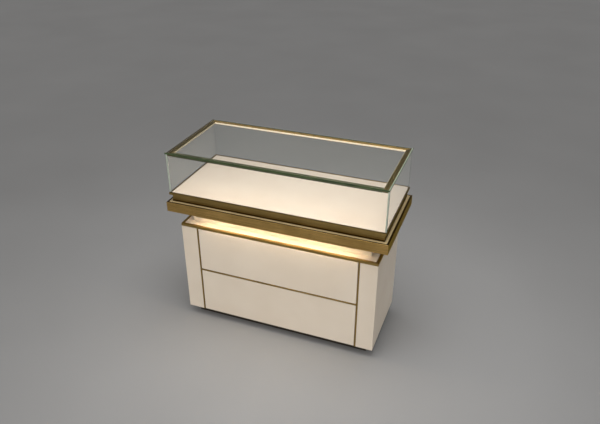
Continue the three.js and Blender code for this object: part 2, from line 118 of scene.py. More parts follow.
@dataclass(frozen=True)
class ShaderGraph:
    """The nodes of one material or of the world."""

    tree: bpy.types.NodeTree

    def add(
        self, kind: str, inputs: dict[str | int, object] | None = None, **settings: object
    ) -> bpy.types.Node:
        """Adds one node with its settings, constants and links.

        Args:
            kind: the node's type name, without its prefix.
            inputs: a constant or an output socket for each input socket.
            **settings: the node's own properties.

        Returns:
            The new node.
        """
        node = self.tree.nodes.new(f"ShaderNode{kind}")
        for key, value in settings.items():
            setattr(node, key, value)
        for key, value in (inputs or {}).items():
            if isinstance(value, Socket):
                self.tree.links.new(value, node.inputs[key])
            else:
                node.inputs[key].default_value = value
        return node

    def noise(self, size: float | Sequence[float], detail: float = 2.0) -> Socket:
        """Noise on Object coordinates.

        Args:
            size: the pattern's real size in millimetres, or one each along x, y and z.
            detail: the number of finer octaves.

        Returns:
            The noise value, from 0 to 1.
        """
        place = self.add("TexCoord").outputs["Object"]
        scale = (1.0 / (np.broadcast_to(size, 3) * MM)).tolist()
        mapped = self.add("Mapping", {"Vector": place, "Scale": scale}).outputs[0]
        return self.add("TexNoise", {"Vector": mapped, "Scale": 1.0, "Detail": detail}).outputs[0]

    def spread(
        self,
        value: Socket,
        low: float = 0.0,
        high: float = 1.0,
        ends: tuple[float, float] = NOISE_MIDDLE,
    ) -> Socket:
        """Spreads a part of a value over a range, if not told otherwise the middle of a noise.

        Args:
            value: the value.
            low: what the part's lower end becomes.
            high: what its upper end becomes.
            ends: where the part starts and ends.

        Returns:
            The spread value.
        """
        start, end = ends
        limits = {"Value": value, "From Min": start, "From Max": end, "To Min": low, "To Max": high}
        return self.add("MapRange", limits).outputs[0]

    def tinted(self, value: Socket, low: str, high: str) -> Socket:
        """Returns a colour between two hex colours, as a value goes from 0 to 1."""
        ends = {"Factor": value, 6: linear(low), 7: linear(high)}
        return self.add("Mix", ends, data_type="RGBA").outputs[2]

    def bump(self, height: Socket, depth: float, strength: float) -> Socket:
        """Returns the normal over a height pattern that is so many millimetres deep."""
        relief = {"Height": height, "Distance": depth * MM, "Strength": strength}
        return self.add("Bump", relief).outputs[0]

    def place_along(self, axis: Axis) -> Socket:
        """Returns the Object coordinate along an axis."""
        place = self.add("TexCoord").outputs["Object"]
        return self.add("SeparateXYZ", {0: place}).outputs[axis.value]

    def maths(self, operation: str, *values: Socket | float) -> Socket:
        """Returns what a math node makes of one or two values."""
        return self.add("Math", dict(enumerate(values)), operation=operation).outputs[0]

    def principled(self, values: dict[str, object]) -> Socket:
        """Returns a Principled shader with the given inputs."""
        return self.add("BsdfPrincipled", values).outputs[0]

    def mixed(self, share: Socket, first: Socket, second: Socket) -> Socket:
        """Returns a shader that goes from the first to the second as the share goes to 1."""
        return self.add("MixShader", {0: share, 1: first, 2: second}).outputs[0]


@dataclass(frozen=True)
class Finish:
    """A finish: the look of one material."""

    name: str

    def material(self) -> bpy.types.Material:
        """Makes the material the first time that a piece asks for it.

        Returns:
            The finish's material.
        """
        made = bpy.data.materials.get(self.name)
        if made is None:
            made = bpy.data.materials.new(self.name)
            made.use_nodes = True
            made.node_tree.nodes.clear()
            graph = ShaderGraph(made.node_tree)
            graph.add("OutputMaterial", {"Surface": self.shader(graph)})
        return made

    def shader(self, graph: ShaderGraph) -> Socket:
        """Builds the finish's nodes.

        Args:
            graph: the material's nodes.

        Returns:
            The shader's output.
        """
        raise NotImplementedError


@dataclass(frozen=True)
class SprayedLacquer(Finish):
    """Satin lacquer sprayed on board: a slow drift of tone and a faint orange peel."""

    pale: str = "#E6D8C5"
    deep: str = "#E0D1BD"
    drift: float = 220.0
    cloud: float = 60.0
    peel: float = 5.0  # real orange peel is near 2 mm, drawn coarser so that it shows
    peel_depth: float = 0.05
    peel_strength: float = 0.25
    rough: tuple[float, float] = (0.36, 0.46)
    index: float = 1.5

    def shader(self, graph: ShaderGraph) -> Socket:
        """Builds the drift of tone, the dull clouds and the orange peel.

        Args:
            graph: the material's nodes.

        Returns:
            The shader's output.
        """
        tone = graph.spread(graph.noise(self.drift))
        clouds = graph.noise(self.cloud, detail=4.0)
        peel = graph.noise(self.peel, detail=1.0)
        values = {
            "Base Color": graph.tinted(tone, self.deep, self.pale),
            "Roughness": graph.spread(clouds, *self.rough),
            "IOR": self.index,
            "Normal": graph.bump(peel, self.peel_depth, self.peel_strength),
        }
        return graph.principled(values)


@dataclass(frozen=True)
class BrushedMetal(Finish):
    """Sheet metal brushed one way: long fine streaks that stretch every highlight across them."""

    axis: Axis
    bright: str
    dark: str
    streak: float = 0.9  # across the brushing, coarser than the real grit so that it shows
    length: float = 160.0
    cloud: float = 90.0
    worn: float = 0.3  # the brightness that the darkest patina leaves
    scratch_depth: float = 0.03
    scratch_strength: float = 0.2
    rough: tuple[float, float] = (0.26, 0.4)
    graze: str = "#FFFFFF"  # tint of the reflection where the eye skims the metal

    def shader(self, graph: ShaderGraph) -> Socket:
        """Builds the streaks and the patina over them.

        Args:
            graph: the material's nodes.

        Returns:
            The shader's output.
        """
        size = [self.streak] * 3
        size[self.axis.value] = self.length
        streaks = graph.noise(size, detail=3.0)
        patina = graph.noise(self.cloud, detail=3.0)
        tone = graph.maths("MULTIPLY", graph.spread(streaks), graph.spread(patina, self.worn))
        values = {
            "Base Color": graph.tinted(tone, self.dark, self.bright),
            "Metallic": 1.0,
            "Specular Tint": linear(self.graze),
            "Roughness": graph.spread(streaks, *self.rough),
            "Normal": graph.bump(streaks, self.scratch_depth, self.scratch_strength),
        }
        return graph.principled(values)


@dataclass(frozen=True)
class FloatGlass(Finish):
    """Clear float glass, coated against reflections: goods show through it and lamps shine in."""

    tint: str = "#FEFFFD"
    veil: str = "#E2E2E1"  # the share of the light that passes each face
    wipe: tuple[float, float, float] = (70.0, 120.0, 70.0)
    rough: tuple[float, float] = (0.0, 0.03)
    index: float = 1.04  # not the glass's own 1.52, since the coat leaves weak reflections
    haze: float = 0.0  # the share that a film of fine dust scatters back

    def shader(self, graph: ShaderGraph) -> Socket:
        """Builds the glass for the eye and a clear veil for the light that passes it.

        Args:
            graph: the material's nodes.

        Returns:
            The shader's output.
        """
        wiped = graph.noise(self.wipe, detail=3.0)
        values = {
            "Base Color": linear(self.tint),
            "Roughness": graph.spread(wiped, *self.rough),
            "IOR": self.index,
            "Transmission Weight": 1.0 - self.haze,
        }
        clear = graph.add("BsdfTransparent", {"Color": linear(self.veil)}).outputs[0]
        path = graph.add("LightPath").outputs
        lighting = graph.maths("MAXIMUM", path["Is Shadow Ray"], path["Is Diffuse Ray"])
        return graph.mixed(lighting, graph.principled(values), clear)


@dataclass(frozen=True)
class PolishedEdge(Finish):
    """Polished rim of a glass pane: deep green, since the eye looks along the whole sheet."""

    bright: str = "#4E5E3A"
    dark: str = "#2B3720"
    vein: tuple[float, float, float] = (70.0, 70.0, 5.0)
    rough: tuple[float, float] = (0.08, 0.16)
    index: float = 1.5

    def shader(self, graph: ShaderGraph) -> Socket:
        """Builds the rim, which is clear from inside the pane.

        Args:
            graph: the material's nodes.

        Returns:
            The shader's output.
        """
        depth = graph.spread(graph.noise(self.vein))
        values = {
            "Base Color": graph.tinted(depth, self.dark, self.bright),
            "Roughness": graph.spread(depth, *self.rough),
            "IOR": self.index,
        }
        clear = graph.add("BsdfTransparent").outputs[0]
        inside = graph.add("NewGeometry").outputs["Backfacing"]
        return graph.mixed(inside, graph.principled(values), clear)


@dataclass(frozen=True)
class OpalCover(Finish):
    """Opal extruded cover over a row of lamps: warm glow with a soft pulse at each lamp."""

    strength: float
    glow: str = "#FFEBCB"
    dim: str = "#F6DDB4"
    body: str = "#F4EAD6"
    pitch: float = 16.7  # from lamp to lamp, 60 in a metre
    rough: float = 0.5

    def shader(self, graph: ShaderGraph) -> Socket:
        """Builds the glow and its pulse along x.

        Args:
            graph: the material's nodes.

        Returns:
            The shader's output.
        """
        pace = 2 * math.pi / (self.pitch * MM)
        angle = graph.maths("MULTIPLY", graph.place_along(Axis.X), pace)
        pulse = graph.spread(graph.maths("COSINE", angle), ends=(-1.0, 1.0))
        values = {
            "Base Color": linear(self.body),
            "Roughness": self.rough,
            "Emission Color": graph.tinted(pulse, self.dim, self.glow),
            "Emission Strength": self.strength,
        }
        return graph.principled(values)


@dataclass(frozen=True)
class BirchPly(Finish):
    """Lacquered birch plywood: long pale grain on the faces, thin dark glue lines on the edges."""

    grain: Axis
    ply: Axis
    layer: float = 3.0
    glue_share: float = 0.18  # a real glue line is near 0.1 mm, drawn thicker so that it shows
    broad: tuple[float, float] = (9.0, 260.0)  # across and along the grain
    pore: tuple[float, float] = (1.6, 40.0)
    pore_depth: float = 0.08
    pore_strength: float = 0.3
    pale: str = "#DCC6A0"
    deep: str = "#C8AC80"
    glue: str = "#A98A60"
    rough: tuple[float, float] = (0.42, 0.58)
    index: float = 1.5

    def shader(self, graph: ShaderGraph) -> Socket:
        """Builds the grain, the pores and the glue lines.

        Args:
            graph: the material's nodes.

        Returns:
            The shader's output.
        """
        broad = graph.noise(self.stretched(self.broad), detail=4.0)
        pores = graph.noise(self.stretched(self.pore))
        grain = graph.tinted(graph.spread(broad), self.deep, self.pale)
        layer = graph.maths("MULTIPLY", graph.place_along(self.ply), 1.0 / (self.layer * MM))
        glue = graph.maths("LESS_THAN", graph.maths("FRACT", layer), self.glue_share)
        lines = {"Factor": glue, 6: grain, 7: linear(self.glue)}
        values = {
            "Base Color": graph.add("Mix", lines, data_type="RGBA").outputs[2],
            "Roughness": graph.spread(pores, *self.rough),
            "IOR": self.index,
            "Normal": graph.bump(pores, self.pore_depth, self.pore_strength),
        }
        return graph.principled(values)

    def stretched(self, size: tuple[float, float]) -> list[float]:
        """Returns a pattern's size along x, y and z from its sizes across and along the grain."""
        across, along = size
        return [along if axis is self.grain else across for axis in Axis]


@dataclass(frozen=True)
class MouldedPlastic(Finish):
    """Moulded ABS: even colour with a fine spark-eroded texture."""

    pale: str
    deep: str
    cloud: float = 30.0
    grit: float = 1.2  # real spark grit is near 0.1 mm, drawn coarser so that it shows
    grit_depth: float = 0.06
    grit_strength: float = 0.3
    rough: tuple[float, float] = (0.42, 0.56)
    index: float = 1.53

    def shader(self, graph: ShaderGraph) -> Socket:
        """Builds the even tone and the fine grit.

        Args:
            graph: the material's nodes.

        Returns:
            The shader's output.
        """
        tone = graph.spread(graph.noise(self.cloud))
        grit = graph.noise(self.grit, detail=1.0)
        values = {
            "Base Color": graph.tinted(tone, self.deep, self.pale),
            "Roughness": graph.spread(grit, *self.rough),
            "IOR": self.index,
            "Normal": graph.bump(grit, self.grit_depth, self.grit_strength),
        }
        return graph.principled(values)


@dataclass(frozen=True)
class StudioPaper(Finish):
    """Matt seamless paper of the studio floor: no gloss, only a slow change of tone."""

    pale: str
    deep: str
    cloud: float = 900.0
    rough: float = 0.8

    def shader(self, graph: ShaderGraph) -> Socket:
        """Builds the paper's slow change of tone.

        Args:
            graph: the material's nodes.

        Returns:
            The shader's output.
        """
        tone = graph.spread(graph.noise(self.cloud))
        colour = graph.tinted(tone, self.deep, self.pale)
        return graph.principled({"Base Color": colour, "Roughness": self.rough})


# Cream lacquer of the cabinet: a warm off-white with broad, dull highlights.
LACQUER = SprayedLacquer("cream_satin_lacquer_sprayed")
# Cream lacquer of the neck, a shade deeper: painted shade, so the strip light won't bleach it.
SHADED_LACQUER = SprayedLacquer("cream_lacquer_painted_shade", pale="#D6C8B4", deep="#CEC0AB")
# Paler lacquer of the display floor: the brightest plain surface, under the goods.
FLOOR_LACQUER = SprayedLacquer("pale_cream_satin_lacquer_sprayed", pale="#EADCCC", deep="#E5D5C4")
# Cream lacquer of the deck, darkened and yellowed: painted shade beside the riser
# and a painted glow reflected from the brass, a beige margin round the riser.
DECK_LACQUER_PAINTED_SHADE = SprayedLacquer(
    "champagne_satin_lacquer_sprayed", pale="#B9A57A", deep="#B09C71"
)
# Black laminate of the plinth: swallows light, so that the cabinet seems to float.
BLACK_BOARD = SprayedLacquer(
    "black_laminate_board", pale="#382E22", deep="#2D251B", drift=120.0, rough=(0.45, 0.6)
)
# Brushed antique brass: warm gold with streaks along the bar.
BRASS = BrushedMetal("antique_brass_brushed_x", Axis.X, "#EDC37A", "#B59252")
# Darker brass: the same streaks, browner, with a greenish gold where the eye skims it.
# Partly the brass's own aged tone, partly painted shade on the riser and the deck band's sides.
AGED_AND_SHADED_BRASS = {
    axis: BrushedMetal(
        f"antique_brass_aged_and_painted_shade_{axis.name.lower()}", axis, "#C9A969", "#9C824A", graze="#D1C181"
    )
    for axis in Axis
}
# Brass of the top frame's side bars, dull, greenish and darker than the rear bar: painted shade.
FRAME_BRASS_PAINTED_SHADE = BrushedMetal("antique_brass_painted_shade_y", Axis.Y, "#8A7848", "#6A5C36")
# Brass darkened to umber: painted shade, a dark line at the riser's foot and on the deck band's
# top.
BRASS_PAINTED_SHADE_LINE = BrushedMetal("antique_brass_painted_shade_line_x", Axis.X, "#5F4A24", "#463515")
# Zinc plating: cool grey streaks along the runners, soft glints on the screws.
ZINC = BrushedMetal(
    "zinc_plated_steel_rolled", Axis.Y, "#C3C6C8", "#A4A7AA", streak=1.6, rough=(0.28, 0.42)
)
# Ground steel of the inlet's pins: small and bright.
STEEL = BrushedMetal(
    "bright_steel_ground", Axis.Z, "#D2D3D4", "#B9BABC", streak=0.6, length=8.0, rough=(0.15, 0.25)
)
# Champagne anodising of the neck light: a soft beige metal sheen under the deck.
CHAMPAGNE = BrushedMetal(
    "champagne_anodised_aluminium_extruded", Axis.X, "#A79F84", "#8C856C", rough=(0.3, 0.42)
)
# Float glass of the top and the front: clear, seen mostly by its rims.
GLASS = FloatGlass("clear_float_glass")
# The other panes carry a film of dust, which lifts them a little from what lies behind.
FAINTLY_DUSTY_GLASS = FloatGlass("float_glass_faintly_dusty", haze=0.03)
DUSTY_PANES = {
    "glass_left": FloatGlass("float_glass_dusty", haze=0.09),
    "glass_right": FAINTLY_DUSTY_GLASS,
    "glass_rear": FAINTLY_DUSTY_GLASS,
}
# Polished rims: a deep green line round each pane.
GLASS_EDGE = PolishedEdge("float_glass_edge_polished")
# Upright rims behind the front pane: pale, a painted highlight where the bond catches the light.
RIM_PAINTED_HIGHLIGHT = PolishedEdge("float_glass_edge_painted_highlight", bright="#E6EDDF", dark="#CDD6C4")
# Upper rims of the side panes: brown on the left, a painted reflection of the brass frame;
# pale on the right, a painted highlight where the light falls on them.
TOP_EDGES = {
    "glass_left": PolishedEdge("float_glass_edge_over_brass", bright="#443B22", dark="#332B17"),
    "glass_right": PolishedEdge("float_glass_edge_in_light", bright="#B0BAA4", dark="#929C88"),
}
# Olive bronze anodising of the case light: a dull bar behind the front edge.
BRONZE = BrushedMetal(
    "olive_bronze_anodised_aluminium_extruded", Axis.X, "#7F8062", "#676A4E", rough=(0.32, 0.44)
)
# Opal covers: glaring at the neck, softer in the case. The faint strips inside the frame are
# painted reflection of the lit display floor, dimmer and darker on the side bars.
NECK_GLOW = OpalCover("opal_cover_neck_light", strength=35.0)
REAR_GLOW_PAINTED_REFLECTION = OpalCover("opal_strip_painted_reflection_rear", strength=0.3)
SIDE_GLOW_PAINTED_REFLECTION = OpalCover("opal_strip_painted_reflection_sides", strength=0.03, body="#C8BEA6")
CASE_GLOW = OpalCover("opal_cover_case_light", strength=18.0, glow="#FFEEDC", dim="#F8E2C8")
# Birch plywood of the drawer boxes: pale long grain, with thin stripes on the edges.
PLY_SIDE = BirchPly("birch_plywood_sides", Axis.Y, Axis.X)
PLY_BACK = BirchPly("birch_plywood_backs", Axis.X, Axis.Y)
PLY_BOTTOM = BirchPly("birch_plywood_bottoms", Axis.X, Axis.Z)
# Moulded plastics of the inlet and the lamp driver: plain, with a faint grit.
BLACK_PLASTIC = MouldedPlastic("black_moulded_plastic", pale="#242426", deep="#19191A")
WHITE_PLASTIC = MouldedPlastic("white_moulded_plastic", pale="#E8E8E3", deep="#DADAD4")
# Grey paper: a matt ground that keeps the shadow.
PAPER = StudioPaper("grey_studio_paper", pale="#8B8A89", deep="#878685")


@dataclass
class Shell:
    """A closed surface: its points, its faces and which of the piece's finishes it takes."""

    points: Array
    faces: list[list[int]]
    tint: int = 0


def grid_faces(rows: int, columns: int) -> list[list[int]]:
    """Quads of a grid that closes on itself along its columns.

    Args:
        rows: number of rows of points.
        columns: number of points in a row, the last joined to the first.

    Returns:
        The quads' point numbers.
    """
    here = np.arange(rows * columns).reshape(rows, columns)
    after = np.roll(here, -1, axis=1)
    quads = np.stack([here[:-1], after[:-1], after[1:], here[1:]], axis=-1)
    return quads.reshape(-1, 4).tolist()


def corner_turn() -> tuple[Array, Array]:
    """Angles of a full turn with both ends of every quarter kept, so flats can open between them.

    Returns:
        The unit vectors of the turn, and the quarter's sign pair for each.
    """
    quarter = np.linspace(0, np.pi / 2, ROUND_POINTS)
    angle = (np.arange(4)[:, None] * np.pi / 2 + quarter).ravel()
    signs = np.array([[1, 1], [-1, 1], [-1, -1], [1, -1]], dtype=float)
    return np.stack([np.cos(angle), np.sin(angle)], axis=-1), np.repeat(signs, ROUND_POINTS, axis=0)


def rounded_box(low: Sequence[float], high: Sequence[float], edge: float) -> Shell:
    """Box with rounded edges: a sphere of two angles, pulled apart along x, y and z.

    A point is centre + sign * (half size - edge) + edge * n, where n is the sphere's unit vector
    and sign the octant that it belongs to.

    Args:
        low: lowest corner.
        high: highest corner.
        edge: radius of the edges.

    Returns:
        The closed shell.
    """
    most = 0.9  # of the half thickness, so that a flat is left
    low_corner, high_corner = np.asarray(low, dtype=float), np.asarray(high, dtype=float)
    centre, half = (low_corner + high_corner) / 2, (high_corner - low_corner) / 2
    edge = min(edge, float(half.min()) * most)
    turn, signs = corner_turn()
    upper = np.linspace(0, np.pi / 2, ROUND_POINTS)
    rise = np.concatenate([-upper[::-1], upper])
    level = np.repeat([-1.0, 1.0], ROUND_POINTS)
    rows, columns = len(rise), len(turn)
    normal = np.empty((rows, columns, 3))
    normal[..., :2] = np.cos(rise)[:, None, None] * turn[None]
    normal[..., 2] = np.sin(rise)[:, None]
    sign = np.empty_like(normal)
    sign[..., :2] = signs[None]
    sign[..., 2] = level[:, None]
    points = centre + sign * (half - edge) + edge * normal
    corners = [k * ROUND_POINTS for k in range(4)]
    top = [(rows - 1) * columns + c for c in corners]
    return Shell(points.reshape(-1, 3), [*grid_faces(rows, columns), corners[::-1], top])


def rounded_outline(low: Sequence[float], high: Sequence[float], edge: float) -> Array:
    """Rectangle with rounded corners, as points counter-clockwise.

    A point is centre + sign * (half size - edge) + edge * (cos t, sin t).

    Args:
        low: lowest corner of the rectangle.
        high: highest corner.
        edge: radius of its corners.

    Returns:
        The outline's points.
    """
    low_corner, high_corner = np.asarray(low, dtype=float), np.asarray(high, dtype=float)
    turn, signs = corner_turn()
    half = (high_corner - low_corner) / 2
    return (low_corner + high_corner) / 2 + signs * (half - edge) + edge * turn


def carried(rows: Array, tint: int = 0) -> Shell:
    """Closes a profile that was carried along a path, with a flat face at either end.

    Args:
        rows: points of shape (stations, profile points, 3).
        tint: which finish it takes.

    Returns:
        The closed shell.
    """
    stations, count = rows.shape[:2]
    first = list(range(count))[::-1]
    last = list(range((stations - 1) * count, stations * count))
    return Shell(rows.reshape(-1, 3), [*grid_faces(stations, count), first, last], tint)


def straight(outline: Array, axis: Axis, start: float, end: float) -> Shell:
    """Profile carried straight along an axis: a point is (profile point, place along the axis).

    Args:
        outline: the profile in the two other directions, in their order.
        axis: the direction of the run.
        start: where it starts.
        end: where it ends.

    Returns:
        The closed shell.
    """
    rows = np.empty((2, len(outline), 3))
    others = [k for k in range(3) if k != axis.value]
    rows[..., others] = outline[None]
    rows[0, :, axis.value] = start
    rows[1, :, axis.value] = end
    return carried(rows)


def mitred_bars(
    low: Sequence[float],
    high: Sequence[float],
    wall: float | tuple[float, float],
    edge: float,
    sides: Sides = Sides.ALL,
    inset: float = 0.0,
    groove: float = 0.25 * MM,
) -> list[Shell]:
    """Rectangular frame of straight bars that meet in mitres.

    The bar's profile is a rounded rectangle over the distance d inwards from the outer face and the
    height z. A bar's end lies at its corner, shifted by d times the neighbour's width over its own,
    so that both are cut along the corner's line. The end draws in by the groove's depth over the
    groove's width, which leaves a hairline at the mitre.

    Args:
        low: lowest outer corner of the frame.
        high: highest outer corner.
        wall: width of the bars, inwards, or one for those along x and one for those along y.
        edge: radius of its long edges.
        sides: which sides have a bar.
        inset: how far inside the outer box the bar starts.
        groove: depth and width of the hairline at a mitre.

    Returns:
        The bars, with tint 0 along x and tint 1 along y.
    """
    widths = np.broadcast_to(wall, 2)
    base, crown = low[2], high[2]
    has_front = sides is not Sides.OPEN_FRONT
    has_rear = sides is not Sides.OPEN_REAR
    shells = []
    draw = np.array([0, groove, groove, 0])[:, None]
    is_start = np.array([True, True, False, False])[:, None]
    for run, first_cut, last_cut, is_low in (
        (Axis.X, True, True, True),
        (Axis.X, True, True, False),
        (Axis.Y, has_front, has_rear, True),
        (Axis.Y, has_front, has_rear, False),
    ):
        if run is Axis.X and not (has_front if is_low else has_rear):
            continue
        along, across = run.value, 1 - run.value
        far = inset + widths[along]
        full = rounded_outline((inset, base), (far, crown), edge)
        inner_low, inner_high = (inset + groove, base + groove), (far - groove, crown - groove)
        drawn = rounded_outline(inner_low, inner_high, edge)
        rows = np.empty((4, len(full), 3))
        depth, rows[..., 2] = np.moveaxis(np.stack([drawn, full, full, drawn]), -1, 0)
        shift = inset + (depth - inset) * widths[across] / widths[along]
        start = low[along] + shift * first_cut + draw
        end = high[along] - shift * last_cut - draw
        rows[..., along] = np.where(is_start, start, end)
        rows[..., across] = low[across] + depth if is_low else high[across] - depth
        shells.append(carried(rows, along))
    return shells


def cross_heads(places: Array, radius: float, proud: float) -> list[Shell]:
    """Pan heads with a cross recess, facing the rear: a height over a disc of radius r and turn t.

    The height is proud * sqrt(1 - crown * (r / radius)^2), less a recess where the disc's point
    lies in one of two crossed bars. A short skirt under the rim closes each head.

    Args:
        places: centres of the heads on the surface, of shape (heads, 3).
        radius: radius of a head.
        proud: height of a head.

    Returns:
        One shell for each head.
    """
    ring = np.array([0.02, 0.16, 0.17, 0.34, 0.46, 0.48, 0.7, 0.88, 1.0, 1.0])
    crown, bar, reach, recess, skirt = 0.75, 0.13, 0.47, 0.55, 0.2
    points = 24  # round each ring
    turn = np.linspace(0, 2 * np.pi, points, endpoint=False)
    u, v = np.outer(ring, np.cos(turn)), np.outer(ring, np.sin(turn))
    dome = np.sqrt(1.0 - crown * ring**2)[:, None] * proud
    crossed = (np.minimum(abs(u), abs(v)) < bar) & (np.maximum(abs(u), abs(v)) < reach)
    height = dome - recess * proud * crossed
    height[-1] = -skirt * proud
    head = np.stack([u * radius, height, v * radius], axis=-1)
    return [carried(place + head) for place in places]


def put(
    name: str,
    shells: Sequence[Shell],
    finishes: Sequence[Finish],
    body: str,
    replaces: Iterable[str] = (),
) -> bpy.types.Object:
    """Puts shells into one piece, dresses it and makes it ride on its body.

    Args:
        name: the piece's name.
        shells: its closed surfaces.
        finishes: its finishes, in the order of the shells' tints.
        body: the body it moves with.
        replaces: the nodes it stands for.

    Returns:
        The new object.
    """
    counts = np.cumsum([0, *[len(s.points) for s in shells]])
    faces = [[i + int(start) for i in f] for s, start in zip(shells, counts) for f in s.faces]
    tints = [s.tint for s in shells for _ in s.faces]
    mesh = bpy.data.meshes.new(name)
    mesh.from_pydata(np.concatenate([s.points for s in shells]).tolist(), [], faces)
    mesh.polygons.foreach_set("material_index", tints)
    work = bmesh.new()
    work.from_mesh(mesh)
    bmesh.ops.remove_doubles(work, verts=work.verts, dist=MERGE_DISTANCE)
    bmesh.ops.dissolve_degenerate(work, edges=work.edges, dist=LEAST_EDGE)
    bmesh.ops.recalc_face_normals(work, faces=work.faces)
    work.to_mesh(mesh)
    work.free()
    mesh.shade_smooth()
    mesh.set_sharp_from_angle(angle=SHARP_ANGLE)
    piece = bpy.data.objects.new(name, mesh)
    bpy.context.scene.collection.objects.link(piece)
    for finish in finishes:
        mesh.materials.append(finish.material())
    even = piece.modifiers.new("even_normals", "WEIGHTED_NORMAL")
    even.keep_sharp = True
    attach(piece, body)
    if replaces:
        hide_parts(*replaces)
    log.info("%s: %d faces", name, len(mesh.polygons))
    return piece


def face_ways(piece: bpy.types.Object) -> Array:
    """Reads which way each face of a piece looks.

    Args:
        piece: the piece.

    Returns:
        The unit normal of each face.
    """
    normals = np.empty(len(piece.data.polygons) * 3)
    piece.data.polygons.foreach_get("normal", normals)
    return normals.reshape(-1, 3)


@dataclass
class SubAssembly:
    """A sub-assembly: the body it rides on and the model's own nodes."""

    nodes: dict[str, bpy.types.Object]
    body: str = "table"

    def dress_node(self, node: str, finish: Finish, edge: float) -> None:
        """Gives a node of the model its finish, and softens its edges with a small bevel.

        Args:
            node: the node's name.
            finish: the finish for all its faces.
            edge: width of the bevel.
        """
        piece = self.nodes[node]
        if not piece.material_slots:
            piece.data.materials.append(finish.material())
        for slot in piece.material_slots:
            slot.material = finish.material()
        piece.modifiers.new("weld", "WELD").merge_threshold = WELD_DISTANCE
        arris = piece.modifiers.new("arris", "BEVEL")
        arris.width = edge
        arris.segments = 2
        arris.limit_method = "ANGLE"
        arris.angle_limit = BEVEL_ANGLE
        arris.harden_normals = True
        log.info("%s: %s", node, finish.name)

    def board(self, node: str, finish: Finish, edge: float, slot: str) -> None:
        """Puts a board with rounded edges in a node's place.

        Args:
            node: the node's name.
            finish: its finish.
            edge: radius of its edges.
            slot: not used.
        """
        put(f"{node}_board", [rounded_box(*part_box(node), edge)], [finish], self.body, [node])


@dataclass
class Plinth(SubAssembly):
    """Dark recessed plinth of four mitred boards."""

    wall: float = 18 * MM
    edge: float = 1.0 * MM

    def build(self) -> None:
        """Builds the plinth's boards."""
        shells = mitred_bars(*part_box("plinth_frame"), self.wall, self.edge)
        finishes = [BLACK_BOARD, BLACK_BOARD]
        put("plinth_boards", shells, finishes, self.body, ["plinth_frame"])


@dataclass
class Carcass(SubAssembly):
    """Lacquered boards of the cabinet, and the screws that hold its back."""

    edge: float = 1.2 * MM
    screw_radius: float = 3.6 * MM
    screw_proud: float = 1.2 * MM
    screw_margin: float = 14 * MM
    screws: tuple[int, int] = (7, 4)  # along each level and each upright edge of the back
    shown: tuple[str, ...] = (
        "bottom_panel",
        "back_panel",
        "cabinet_top",
        "side_panel_left",
        "side_panel_right",
        "partition_left",
        "partition_right",
        "front_stile_left",
        "front_stile_right",
        "drawer_divider",
    )

    def build(self) -> None:
        """Builds the boards and the screws of the back."""
        for node in self.shown:
            self.board(node, LACQUER, self.edge, "cream_lacquer")
        low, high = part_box("back_panel")
        margin = self.screw_margin
        across = np.linspace(low[0] + margin, high[0] - margin, self.screws[0])
        levels = np.linspace(low[2] + margin, high[2] - margin, self.screws[1])
        x, z = np.meshgrid(across, levels)
        rim = (x == across[0]) | (x == across[-1]) | (z == levels[0]) | (z == levels[-1])
        places = np.stack([x[rim], np.full(rim.sum(), high[1]), z[rim]], axis=-1)
        heads = cross_heads(places, self.screw_radius, self.screw_proud)
        put("back_panel_screws", heads, [ZINC], self.body)


@dataclass
class CabinetTrim(SubAssembly):
    """Brass rim round the cabinet's top, and the strips between the fronts."""

    rim_wall: float = 13 * MM
    edge: float = 0.8 * MM

    def build(self) -> None:
        """Builds the mitred rim and the three strips."""
        both = [AGED_AND_SHADED_BRASS[Axis.X], AGED_AND_SHADED_BRASS[Axis.Y]]
        rim = mitred_bars(*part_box("brass_rim"), self.rim_wall, self.edge)
        put("brass_rim_bars", rim, both, self.body, ["brass_rim"])
        for node, axis in (("left", Axis.Z), ("right", Axis.Z), ("middle", Axis.X)):
            self.board(f"brass_strip_{node}", AGED_AND_SHADED_BRASS[axis], self.edge, "brushed_brass")


@dataclass
class Drawer(SubAssembly):
    """A drawer on full-extension runners: lacquered front, plywood box and steel members."""

    name: str = "upper_drawer"
    edge: float = 1.2 * MM
    box_edge: float = 0.8 * MM
    screw_radius: float = 3.2 * MM
    screw_proud: float = 0.9 * MM
    screw_spread: float = 0.32  # of the front's length, to either side of its middle

    def build(self) -> None:
        """Builds the front, the box, the runners' finish and the screws."""
        name = self.name
        self.board(f"{name}_front", LACQUER, self.edge, "cream_lacquer")
        for part, finish in (
            ("side_left", PLY_SIDE),
            ("side_right", PLY_SIDE),
            ("back", PLY_BACK),
            ("bottom", PLY_BOTTOM),
        ):
            self.board(f"{name}_{part}", finish, self.box_edge, "drawer_wood")
        for side in ("left", "right"):
            for member in ("fixed", "middle", "sliding"):
                self.dress_node(f"{name}_runner_{side}_{member}", ZINC, SHEET_EDGE)
        self.front_screws()

    def front_screws(self) -> None:
        """Screws inside the box that hold the front."""
        low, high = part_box(f"{self.name}_front")
        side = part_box(f"{self.name}_side_left")
        level = (side[0][2] + side[1][2]) / 2
        x = np.array([-1.0, 0.0, 1.0]) * self.screw_spread * (high[0] - low[0])
        places = np.stack([x, np.full(x.size, high[1]), np.full(x.size, level)], axis=-1)
        heads = cross_heads(places, self.screw_radius, self.screw_proud)
        put(f"{self.name}_front_screws", heads, [ZINC], self.body)


